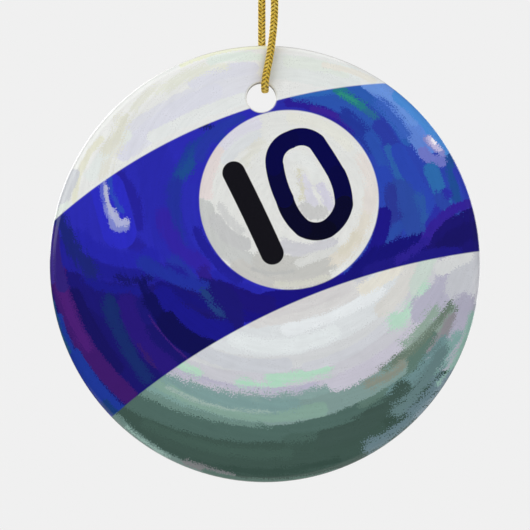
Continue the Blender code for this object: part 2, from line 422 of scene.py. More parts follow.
def strand(bm, line, start, end, hand, number, layers):
    """One flat strand of the braid: a grid rolled into a flattened tube, which winds along the cord. It rides
    outside the others over one quarter of the way round, and inside them over the next."""
    rings = max(4, round((end - start) / BRAID_PITCH * RINGS_TO_A_TURN))
    verts = bmesh.ops.create_grid(bm, x_segments=rings, y_segments=STRAND_SIDES, size=0.5)["verts"]
    flat = np.array([v.co for v in verts])
    where = start + (end - start) * (flat[:, 0] + 0.5)
    round_it = math.tau * (flat[:, 1] + 0.5) + math.pi
    from_end = np.minimum(where, line["along"][-1] - where)
    sealed = np.clip(from_end / DRAWN_IN_LENGTH, 0.0, 1.0)
    shrink = DRAWN_IN_SHARE + (1 - DRAWN_IN_SHARE) * np.sqrt(sealed)
    turn = hand * math.tau * (where - line["along"][line["bight"]]) / BRAID_PITCH
    turn += math.tau * number / STRANDS_EACH_WAY + (math.radians(45) if hand < 0 else 0)
    heading, away, across = directions(line, where, turn)
    radius = (STRAND_OUT + hand * STRAND_RISE * np.sin(2 * turn)) * shrink
    course = heading + across * (hand * math.tau * radius / BRAID_PITCH)[:, None]
    course /= np.linalg.norm(course, axis=1)[:, None]
    width_way = np.cross(away, course)
    places = at(line, "centre", where) + away * radius[:, None]
    places += width_way * (STRAND_HALF_WIDTH * np.sin(round_it) * shrink)[:, None]
    places -= away * (STRAND_HALF_THICKNESS * np.cos(round_it))[:, None]
    for vert, place, run, share in zip(verts, places, where, round_it):
        vert.co = place
        vert[layers[0]] = run / MM
        vert[layers[1]] = math.sin(share)
        vert[layers[2]] = hand * (number + 1)


def core(bm, line, start, end):
    """The filling that the strands are braided round, dark with painted shade."""
    rings = max(3, round((end - start) / CORE_RING_STEP))
    verts = bmesh.ops.create_grid(bm, x_segments=rings, y_segments=CORE_SIDES, size=0.5)["verts"]
    flat = np.array([v.co for v in verts])
    where = start + (end - start) * (flat[:, 0] + 0.5)
    turn = math.tau * (flat[:, 1] + 0.5)
    away = directions(line, where, turn)[1]
    for vert, place in zip(verts, at(line, "centre", where) + away * CORE_RADIUS):
        vert.co = place
    give_filling(verts)


def sealed_tip(bm, line, tip):
    """The melted bead that stops a cut end fraying."""
    place = Matrix.Translation(Vector(at(line, "centre", [tip])[0]))
    heading = Vector(at(line, "heading", [tip])[0]).to_track_quat("Z", "Y").to_matrix().to_4x4()
    shape = Matrix.Diagonal((BEAD_RADIUS, BEAD_RADIUS, BEAD_HALF_LENGTH, 1))
    made = bmesh.ops.create_uvsphere(
        bm, u_segments=12, v_segments=8, radius=1, matrix=place @ heading @ shape
    )
    give_filling(made["verts"])


def braid(name, line, ranges, finishes):
    """A piece of braided cord over these ranges of its length."""
    bm = bmesh.new()
    layers = [bm.verts.layers.float.new(word) for word in ("along", "across", "strand")]
    for start, end in ranges:
        for hand in (1, -1):
            for number in range(STRANDS_EACH_WAY):
                strand(bm, line, start, end, hand, number, layers)
        core(bm, line, start, end)
        for tip in (0.0, line["along"][-1]):
            if tip in (start, end):
                sealed_tip(bm, line, tip)
    bmesh.ops.remove_doubles(bm, verts=bm.verts, dist=WELD_DISTANCE)
    open_edges = [edge for edge in bm.edges if edge.is_boundary]
    bmesh.ops.holes_fill(bm, edges=open_edges, sides=0)
    bmesh.ops.recalc_face_normals(bm, faces=bm.faces)
    mesh = new_mesh(name, bm)
    mesh.shade_smooth()
    return new_object(name, mesh, *finishes)


def yarn_finish():
    """Braided metallised polyester yarn, with painted glints along the thin slit films in each strand."""
    finish, tree, shader = new_material("braided_metallised_yarn")
    along = add(tree, "ShaderNodeAttribute", attribute_name="along").outputs["Fac"]
    across = add(tree, "ShaderNodeAttribute", attribute_name="across").outputs["Fac"]
    number = add(tree, "ShaderNodeAttribute", attribute_name="strand").outputs["Fac"]
    spot = add(tree, "ShaderNodeCombineXYZ", {0: along, 1: across, 2: number}).outputs[0]
    # Slit films a tenth of a millimetre wide run along the strand, so the painted glints are long and thin.
    films = vector_maths(tree, "MULTIPLY", spot, PAINTED_GLINT_CELLS)
    painted_glint = add(tree, "ShaderNodeTexNoise", {"Vector": films, "Scale": 1.0, "Detail": 2.0}).outputs[0]
    # Painted highlights: the colour runs from the yarn's own gold up to pale yellow glints.
    tone = add(tree, "ShaderNodeValToRGB", {0: painted_glint})
    ramp = tone.color_ramp
    ramp.elements[0].position = 0.30
    ramp.elements[0].color = linear("#C4921A")
    ramp.elements[1].position = 0.72
    ramp.elements[1].color = linear("#FFF0A0")
    for position, colour in ((0.42, "#E8BC3A"), (0.56, "#FADA54")):
        ramp.elements.new(position).color = linear(colour)
    # The strand's edges dip behind its neighbours and are dark with the shade between them.
    edge = maths(tree, "ABSOLUTE", across)
    shade = ranged(tree, edge, 0.50, 1.0, 0.0, 0.85, interpolation="SMOOTHSTEP")
    colour = laid_over(tree, shade, tone.outputs[0], linear("#66480A"))
    tree.links.new(colour, shader.inputs["Base Color"])
    # Four or five low ridges lie side by side on each strand, where its films lap.
    ridges = maths(tree, "SINE", maths(tree, "MULTIPLY", across, RIDGE_PHASE))
    bump = add(tree, "ShaderNodeBump", {"Strength": 0.5, "Distance": 0.00003, "Height": ridges})
    tree.links.new(bump.outputs[0], shader.inputs["Normal"])
    shader.inputs["Metallic"].default_value = 0.35
    shader.inputs["Roughness"].default_value = 0.36
    return finish


def core_finish():
    """Cotton filling, matt and coloured dark as painted shade, so the gaps between strands read as depth."""
    finish, tree, shader = new_material("cotton_filling_dark_as_painted_shade")
    place = add(tree, "ShaderNodeTexCoord").outputs["Object"]
    fuzz = add(tree, "ShaderNodeTexNoise", {"Vector": place, "Scale": 5000.0}).outputs[0]
    # Painted shade: the filling's dark browns stand for the shade in the gaps between the strands.
    tone = laid_over(tree, fuzz, linear("#5A3E0C"), linear("#86651C"))
    tree.links.new(tone, shader.inputs["Base Color"])
    shader.inputs["Roughness"].default_value = 0.7
    return finish


def make_cord():
    """The cord in four pieces: the knot, and three that each cross a joint."""
    line = cord_line()
    finishes = (yarn_finish(), core_finish())
    cut_end = line["along"][-1]
    knot_front, knot_back = place_at(line, KNOT_FOOT)
    hook_front, hook_back = place_at(line, HOOK_FOOT)
    neck_front, neck_back = place_at(line, NECK_FOOT)

    knot = braid("tied_knot", line, [(0.0, knot_front), (knot_back, cut_end)], finishes)
    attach(knot, "loop_top")
    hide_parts("cord_knot", "cord_end_front", "cord_end_back")

    hook = braid("cord_over_hook", line, [(knot_front, hook_front), (hook_back, knot_back)], finishes)
    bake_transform(hook)
    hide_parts("cord_crown_front", "cord_crown_back")

    neck = braid("cord_below_hook", line, [(hook_front, neck_front), (neck_back, hook_back)], finishes)
    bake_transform(neck)
    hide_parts("cord_neck_front", "cord_neck_back")

    loop = braid("hanging_cord", line, [(neck_front, neck_back)], finishes)
    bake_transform(loop)
    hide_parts("cord_leg_front", "cord_leg_back", "cord_bight")


# ---------------------------------------------------------------- the disc


def disc_mesh():
    """The disc with a round edge, as one closed shell."""
    upright = Matrix.Rotation(math.radians(90), 4, "X")
    size = Matrix.Diagonal((DISC_SIZE.x / 2, DISC_SIZE.z / 2, 1, 1))
    back = Matrix.Translation((0, DISC_HIGH.y, DISC_CENTRE.z))
    bm = bmesh.new()
    bmesh.ops.create_circle(bm, cap_ends=True, segments=192, radius=1, matrix=back @ upright @ size)
    extruded = bmesh.ops.extrude_face_region(bm, geom=bm.faces[:], use_keep_orig=True)
    moved = [v for v in extruded["geom"] if isinstance(v, bmesh.types.BMVert)]
    bmesh.ops.translate(bm, vec=(0, -DISC_SIZE.y, 0), verts=moved)
    rims = [e for e in bm.edges if abs(e.verts[0].co.y - e.verts[1].co.y) < FACE_Y]
    bmesh.ops.bevel(
        bm, geom=rims, offset=EDGE_ROUND, affect="EDGES", segments=8, profile=0.5, material=-1
    )
    bmesh.ops.recalc_face_normals(bm, faces=bm.faces)
    # A narrow flat band inside each rounded edge keeps the shading of the edge off the face.
    faces = [f for f in bm.faces if len(f.verts) > 4]
    bmesh.ops.inset_individual(bm, faces=faces, thickness=FACE_INSET)
    return new_mesh("disc", bm)


def hole_cutter():
    """A spool as wide as the hole that flares into each face, so the hole's mouths come out rounded."""
    radius = HOLE_DIAMETER / 2
    beyond = 0.0003
    arc = [math.radians(a) for a in range(0, 85, 12)]
    half = [
        (radius + HOLE_MOUTH_ROUND * (1 - math.cos(a)), FACE_Y - HOLE_MOUTH_ROUND * (1 - math.sin(a)))
        for a in arc
    ]
    rise = FACE_Y + beyond - half[-1][1]
    half.append((half[-1][0] + rise * math.tan(arc[-1]), FACE_Y + beyond))
    profile = [(r, -y) for r, y in reversed(half)] + half
    centre = Vector((HOLE_OFFSET_X, 0, HOLE_Z))
    bm = bmesh.new()
    ends = [(0, profile[0][1])] + profile + [(0, profile[-1][1])]
    verts = [bm.verts.new(centre + Vector((r, y, 0))) for r, y in ends]
    edges = [bm.edges.new(pair) for pair in zip(verts, verts[1:])]
    bmesh.ops.spin(
        bm, geom=verts + edges, cent=centre, axis=(0, 1, 0), angle=math.tau, steps=72, use_merge=True
    )
    bmesh.ops.remove_doubles(bm, verts=bm.verts, dist=WELD_DISTANCE)
    bmesh.ops.recalc_face_normals(bm, faces=bm.faces)
    return new_object("hole_cutter", new_mesh("hole_cutter", bm))


def make_disc():
    """The disc with its hole, glazed and printed."""
    disc = new_object("glazed_disc", disc_mesh(), printed_glaze())
    cutter = hole_cutter()
    cut = disc.modifiers.new("cord_hole", "BOOLEAN")
    cut.operation = "DIFFERENCE"
    cut.solver = "EXACT"
    cut.object = cutter
    # The flat faces keep flat shading right up to the rounded edges.
    level = disc.modifiers.new("level_faces", "WEIGHTED_NORMAL")
    level.weight = 100
    disc.data.shade_smooth()
    graph = bpy.context.evaluated_depsgraph_get()
    disc.data = bpy.data.meshes.new_from_object(disc.evaluated_get(graph))
    disc.modifiers.clear()
    bpy.data.objects.remove(cutter)
    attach(disc, "disc")
    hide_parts("ceramic_disc")


# ---------------------------------------------------------------- the print

# A stroke is: colour, half width, how ragged its edge is, then its start, its end and, between them, a point
# that it bends through. Later strokes lie over earlier ones.
TOP_WHITE = [
    ("#EEEFEC", 1.6, 0.5, (-32.6, 14.0), (-22.5, 27.5), (-6.0, 34.4)),
    ("#E0E1E8", 2.6, 0.5, (-22.9, 20.6), (-13.9, 26.3), (-3.3, 30.6)),
    ("#DEDFE9", 1.3, 0.4, (-24.0, 18.6), (-17.5, 24.5), (-8.4, 29.2)),
    ("#DFE0E9", 1.2, 0.4, (-12.0, 30.8), (-7.3, 32.4), (-2.2, 33.1)),
    ("#E7EAE9", 1.0, 0.4, (-19.0, 21.4), (-11.0, 25.3), (-3.6, 28.0)),
    ("#E8E8D6", 0.5, 0.4, (-32.2, 10.6), (-31.0, 16.2), (-27.6, 21.2)),
    ("#E6EBE8", 1.1, 0.6, (-29.4, 15.0), (-26.8, 18.6), (-23.6, 21.8)),
    ("#E1E1D3", 1.1, 1.6, (-26.6, 19.2), (-25.0, 21.6), (-24.2, 24.4)),
    ("#E4E4DA", 0.7, 1.7, (-27.2, 15.2), (-26.2, 17.4), (-24.8, 19.6)),
    ("#E6E8DC", 0.8, 1.4, (-18.2, 29.2), (-12.6, 32.0), (-7.2, 33.6)),
    ("#E6E7DC", 0.6, 1.5, (-22.0, 26.4), (-19.8, 28.6), (-16.4, 30.6)),
    ("#E3ECE4", 0.8, 0.6, (-9.0, 34.4), (-5.2, 35.0), (-1.0, 34.9)),
    ("#E8EAD0", 0.32, 0.3, (-14.2, 33.5), (-7.0, 36.0), (0.4, 36.7)),
    ("#D3D6DA", 0.95, 0.5, (-35.2, 6.4), (-33.6, 12.2), (-32.2, 15.2)),
    ("#E3EBE4", 0.5, 0.8, (-36.0, 7.2), (-34.8, 9.0), (-33.6, 10.0)),
    ("#E4E8E6", 2.2, 0.6, (1.6, 33.6), (7.5, 32.6), (14.0, 31.4)),
    ("#E3E9E2", 1.0, 0.7, (4.0, 34.2), (8.6, 33.6), (13.4, 32.4)),
    ("#E7E5DC", 0.5, 0.3, (10.0, 33.6), (14.4, 32.6), (18.4, 30.9)),
]

BLUE = [
    # right of the roundel
    ("#2B44B0", 13.0, 0.0, (22.0, 40.0), (23.5, 18.0), (27.0, -4.0)),
    ("#2A2CA8", 1.6, 0.4, (0.0, 26.6), (7.5, 26.2), (13.8, 23.0)),
    ("#2A1C96", 0.9, 0.4, (4.2, 27.4), (9.5, 26.2), (14.6, 22.4)),
    ("#3A2298", 0.5, 0.5, (8.2, 26.2), (11.6, 25.2), (15.0, 22.8)),
    ("#2B55B2", 1.6, 0.9, (5.2, 29.2), (11.8, 27.6), (18.6, 21.4)),
    ("#2E66B8", 0.7, 0.5, (4.6, 28.8), (8.4, 29.0), (12.4, 29.6)),
    ("#22389C", 1.2, 1.3, (13.6, 25.2), (16.0, 22.8), (18.2, 19.8)),
    ("#2C5CB4", 1.3, 0.6, (14.6, 30.2), (19.9, 26.8), (24.0, 21.2)),
    ("#2A6A96", 0.6, 0.8, (15.6, 27.2), (18.0, 25.4), (20.2, 23.4)),
    ("#247A88", 0.75, 0.8, (12.2, 29.6), (14.2, 28.2), (16.4, 26.8)),
    ("#2E9080", 0.35, 0.8, (12.8, 28.9), (14.0, 28.2), (15.4, 27.4)),
    ("#2A3CA6", 1.4, 1.0, (19.6, 23.4), (21.4, 20.4), (22.8, 17.0)),
    ("#2A50B0", 0.9, 0.7, (17.6, 21.4), (19.8, 17.0), (20.6, 12.0)),
    ("#2946B4", 1.2, 0.5, (19.8, 15.5), (20.9, 10.2), (20.0, 4.1)),
    ("#2C60AC", 0.8, 0.6, (20.8, 19.4), (22.2, 16.0), (24.0, 11.8)),
    ("#2A47B4", 1.4, 0.5, (22.6, 19.0), (24.9, 14.5), (28.2, 9.4)),
    ("#2B4AA4", 2.1, 0.9, (22.8, 12.4), (24.6, 8.6), (26.2, 4.8)),
    ("#2A3898", 1.1, 1.2, (21.2, 12.4), (21.6, 8.6), (21.9, 4.8)),
    ("#2C58A8", 0.7, 1.2, (26.0, 11.4), (26.8, 9.0), (27.4, 6.6)),
    ("#2A4CA8", 0.85, 0.8, (22.4, 6.4), (20.6, 3.6), (18.9, 1.0)),
    ("#6088DA", 1.9, 0.3, (17.8, 31.2), (23.4, 26.2), (27.6, 20.4)),
    ("#6A94DE", 1.4, 0.6, (17.4, 31.0), (21.6, 28.4), (25.0, 24.6)),
    ("#4A8CD8", 1.0, 0.6, (22.4, 28.4), (26.6, 24.4), (30.4, 18.6)),
    ("#5F84D4", 1.0, 0.7, (24.2, 22.4), (25.6, 20.6), (26.6, 18.8)),
    ("#3A62C0", 0.9, 1.5, (19.6, 27.2), (21.8, 24.6), (23.6, 22.0)),
    ("#7078C8", 1.0, 0.5, (26.8, 18.9), (28.3, 17.6), (30.2, 17.5)),
    ("#858ACC", 0.6, 0.5, (27.4, 21.2), (28.6, 19.8), (29.9, 18.8)),
    ("#C4BCE0", 0.48, 0.6, (27.8, 21.2), (28.5, 20.2), (29.5, 19.4)),
    ("#F4EEF8", 0.22, 0.3, (28.3, 21.0), (28.5, 20.7), (28.7, 20.4)),
    ("#2C6CB0", 1.2, 0.6, (28.0, 16.0), (29.2, 13.2), (30.6, 9.8)),
    ("#1E4E98", 0.75, 0.8, (31.4, 18.0), (31.5, 14.8), (32.6, 11.0)),
    ("#2A3CB0", 0.75, 0.5, (32.4, 15.8), (33.6, 13.4), (34.6, 10.8)),
    ("#2B2FA8", 0.9, 0.6, (30.6, 12.0), (29.0, 8.4), (27.8, 6.6)),
    # under and beside the roundel
    ("#1B1488", 1.3, 0.4, (20.0, 8.4), (18.6, 2.6), (14.4, -2.4)),
    ("#160F80", 2.4, 0.3, (-5.0, -7.5), (8.0, -5.8), (20.0, -1.4)),
    ("#141078", 1.9, 0.9, (15.4, -2.6), (21.0, 1.8), (27.6, 3.2)),
    ("#191270", 6.5, 0.0, (33.6, 2.4), (36.0, 3.1), (38.6, 4.0)),
    ("#161066", 1.6, 0.8, (30.4, 2.8), (32.4, 4.6), (35.6, 5.6)),
    ("#1C1682", 1.6, 0.6, (18.0, -1.6), (24.0, 0.2), (32.0, 1.4)),
    ("#2A46A8", 0.9, 0.9, (29.5, 11.5), (30.8, 9.6), (32.4, 9.2)),
    ("#33209A", 0.80, 0.5, (27.0, 3.8), (29.96, 7.9), (35.4, 10.3)),
    ("#2A1E92", 0.7, 0.9, (22.6, 0.6), (24.6, 2.0), (27.0, 3.8)),
    # left of the roundel
    ("#2828AE", 3.2, 0.9, (-18.6, 17.4), (-16.6, 8.0), (-14.0, -1.0)),
    ("#24209E", 0.9, 0.9, (-24.6, 15.2), (-22.4, 11.6), (-21.2, 6.4)),
    ("#25219E", 1.3, 1.4, (-22.0, 3.4), (-18.4, -0.4), (-13.0, -2.2)),
    ("#2B2BC4", 2.9, 0.2, (-26.6, 12.6), (-25.4, 8.4), (-24.6, 5.4)),
    ("#2C48BC", 0.42, 0.6, (-26.4, 14.4), (-25.6, 11.4), (-24.2, 9.0)),
    ("#5A64CC", 0.42, 0.5, (-27.5, 13.8), (-27.2, 10.8), (-26.0, 7.8)),
    ("#8C92D2", 0.27, 0.4, (-27.1, 14.2), (-26.9, 11.6), (-26.1, 9.2)),
    ("#7C84D2", 0.70, 0.5, (-26.6, 9.6), (-25.9, 7.8), (-24.6, 6.5)),
    ("#8088D0", 1.15, 0.6, (-25.3, 7.2), (-24.8, 6.5), (-24.2, 6.6)),
    ("#A8ACDA", 0.58, 0.6, (-26.0, 9.2), (-25.3, 7.7), (-24.3, 6.9)),
    ("#B6BAD8", 0.28, 0.4, (-26.9, 13.2), (-26.4, 9.8), (-24.6, 7.0)),
    ("#B0B4DA", 0.70, 0.7, (-25.0, 7.6), (-24.4, 7.0), (-23.9, 7.1)),
    ("#1F3A9E", 1.25, 1.2, (-7.8, 22.3), (-12.2, 18.7), (-15.0, 13.0)),
    ("#1C4C92", 0.8, 1.6, (-10.6, 19.6), (-12.9, 16.8), (-14.8, 13.2)),
    ("#14206E", 0.5, 1.6, (-12.4, 24.0), (-10.4, 23.6), (-8.4, 22.8)),
    ("#2636A6", 1.0, 0.9, (-4.4, 24.6), (-8.4, 22.0), (-11.2, 18.2)),
    ("#22309E", 1.2, 1.2, (-14.9, 13.3), (-15.3, 8.6), (-14.0, 3.0)),
    ("#2A2CB4", 1.1, 0.6, (-12.4, 12.6), (-12.6, 7.8), (-10.6, 3.4)),
    ("#3122A6", 1.3, 1.2, (-17.2, 8.2), (-15.0, 3.4), (-10.2, -0.2)),
    ("#2434A2", 1.2, 1.2, (-15.4, 0.2), (-12.8, -2.3), (-10.0, -4.4)),
    ("#2D1C8C", 1.2, 1.2, (-10.4, -1.6), (-8.4, -3.8), (-6.0, -5.2)),
    ("#2424A8", 0.9, 0.5, (-8.2, -1.8), (-5.2, -3.5), (-1.4, -4.6)),
    ("#1A1178", 1.6, 0.6, (-6.4, -4.6), (-3.2, -6.2), (0.4, -6.8)),
    ("#201E98", 0.8, 0.8, (-11.6, 5.6), (-8.8, 1.1), (-4.6, -2.7)),
    # the shaded lower left
    ("#201E96", 4.0, 1.2, (-36.0, 1.6), (-28.0, -3.2), (-16.0, -4.0)),
    ("#191474", 6.5, 0.8, (-36.0, -7.0), (-26.0, -9.6), (-10.0, -8.8)),
    ("#17126C", 7.0, 0.4, (-34.0, -13.0), (-26.0, -17.0), (-12.0, -14.5)),
    ("#2424AC", 1.5, 1.2, (-31.4, 4.4), (-27.0, 1.4), (-19.0, 1.4)),
    ("#1D1C92", 1.1, 1.4, (-34.2, 4.0), (-28.0, -0.9), (-19.2, -1.8)),
    ("#1A1A8C", 0.9, 1.2, (-30.0, -2.6), (-25.6, -4.2), (-20.4, -4.4)),
    ("#14146C", 0.5, 1.4, (-24.6, -2.4), (-22.0, -2.8), (-19.4, -2.2)),
    ("#2030A0", 1.1, 1.2, (-20.8, 0.4), (-16.7, -1.8), (-10.8, -3.9)),
    ("#15127A", 0.9, 0.9, (-17.6, -3.6), (-13.8, -5.4), (-9.4, -7.0)),
    ("#17158A", 1.9, 0.8, (-17.2, -5.6), (-12.4, -9.9), (-7.2, -11.4)),
    ("#0E0E60", 0.7, 0.9, (-20.6, -3.4), (-19.2, -6.6), (-16.4, -9.8)),
    ("#0C0C5A", 1.2, 0.8, (-19.4, -6.0), (-17.4, -9.2), (-14.0, -11.8)),
    ("#0A0A52", 1.8, 0.6, (-16.6, -9.8), (-13.8, -12.6), (-9.4, -14.4)),
    ("#203E80", 0.6, 1.5, (-10.2, -4.8), (-9.0, -6.8), (-7.8, -8.2)),
    ("#26147A", 1.6, 1.0, (-23.4, -6.4), (-20.8, -13.0), (-16.2, -17.4)),
    ("#341A6C", 0.3, 0.9, (-21.2, -13.6), (-20.0, -15.6), (-18.6, -17.4)),
    ("#3C1C78", 0.14, 0.4, (-19.6, -8.6), (-16.7, -12.6), (-13.2, -15.9)),
    ("#142A6C", 1.1, 1.1, (-26.4, -6.2), (-24.2, -12.6), (-20.0, -19.2)),
    ("#140F60", 1.1, 0.7, (-32.2, -5.0), (-29.0, -11.4), (-24.8, -17.6)),
    ("#3E176C", 1.5, 0.8, (-35.3, -1.4), (-31.9, -11.2), (-23.2, -22.2)),
    ("#4C1C76", 0.8, 1.0, (-34.6, -2.6), (-33.2, -7.6), (-30.0, -14.0)),
    ("#1B3698", 0.7, 0.6, (-34.9, -9.0), (-33.6, -13.2), (-31.6, -17.0)),
    ("#1B3698", 1.4, 0.6, (-32.2, -15.8), (-29.2, -20.2), (-24.4, -25.2)),
    ("#1E5080", 0.35, 0.5, (-35.9, -6.4), (-34.9, -10.8), (-33.1, -14.9)),
    ("#143A78", 0.7, 0.6, (-27.0, -23.6), (-25.8, -24.8), (-24.4, -26.0)),
    ("#1A2478", 1.2, 1.5, (-34.8, 7.4), (-32.9, 3.6), (-29.4, -1.2)),
    ("#31207A", 1.0, 0.4, (-35.7, 5.6), (-35.4, 1.0), (-34.2, -3.8)),
    ("#3E2C8A", 0.4, 0.4, (-36.0, 6.2), (-36.2, 0.8), (-36.0, -3.0)),
]

ROUNDEL = [
    ("#DDDCE6", 1.4, 0.7, (-8.0, 18.4), (-5.6, 21.3), (-2.0, 23.6)),
    ("#E4DAD8", 1.2, 0.7, (-10.0, 11.6), (-9.5, 15.6), (-7.8, 18.6)),
    ("#DDE0E2", 1.0, 0.8, (-6.6, 17.6), (-4.6, 20.0), (-1.6, 21.6)),
    ("#E0E0D8", 0.8, 1.2, (-3.2, 17.0), (-2.0, 19.0), (-0.6, 20.4)),
    ("#C9CBC9", 1.7, 0.5, (-10.4, 9.4), (-8.6, 4.9), (-3.2, 0.4)),
    ("#C6C7C7", 1.2, 0.5, (-8.2, 7.4), (-6.4, 5.0), (-3.4, 3.4)),
    ("#D2D3D2", 0.7, 0.8, (-7.4, 9.6), (-6.0, 7.4), (-4.2, 5.8)),
    ("#C9C8C4", 1.5, 0.6, (-4.6, -0.6), (2.4, -2.8), (9.6, -1.8)),
    ("#C6C6C2", 2.0, 0.8, (0.0, 0.6), (5.0, -0.4), (10.6, 0.6)),
    ("#CFCFD4", 1.2, 0.8, (3.2, 3.0), (6.7, 2.3), (11.0, 3.4)),
    ("#DADBD8", 0.75, 0.8, (5.8, 0.2), (8.9, 1.4), (12.2, 2.4)),
    ("#BFC0BE", 0.3, 0.6, (-2.0, -0.8), (1.3, -1.7), (4.6, -1.2)),
    ("#D6D6CC", 0.5, 0.8, (2.0, -3.4), (6.4, -3.4), (10.4, -2.2)),
    ("#E0DBCF", 1.0, 1.4, (12.0, 0.6), (16.0, 5.0), (17.6, 10.8)),
    ("#E5DFDA", 1.0, 1.3, (16.4, 18.0), (17.7, 14.4), (17.7, 9.6)),
    ("#E6E6DE", 1.0, 0.8, (4.6, 24.6), (9.6, 23.4), (14.0, 20.0)),
    ("#DDD8C8", 0.8, 1.3, (13.2, 2.2), (14.3, 3.2), (15.2, 4.6)),
    ("#D9D8E2", 0.9, 0.6, (6.4, 14.4), (7.2, 12.2), (8.2, 9.8)),
    ("#D4D2E0", 0.8, 0.7, (9.6, 13.0), (10.3, 11.4), (10.9, 9.6)),
    ("#D8D6C4", 0.35, 1.1, (5.6, 15.8), (6.3, 13.6), (6.1, 11.0)),
    ("#CBCBCA", 1.1, 0.6, (6.8, 9.4), (8.0, 8.6), (9.6, 8.8)),
    ("#E6E8E6", 0.9, 0.8, (4.6, 18.4), (6.6, 17.6), (8.6, 14.8)),
]

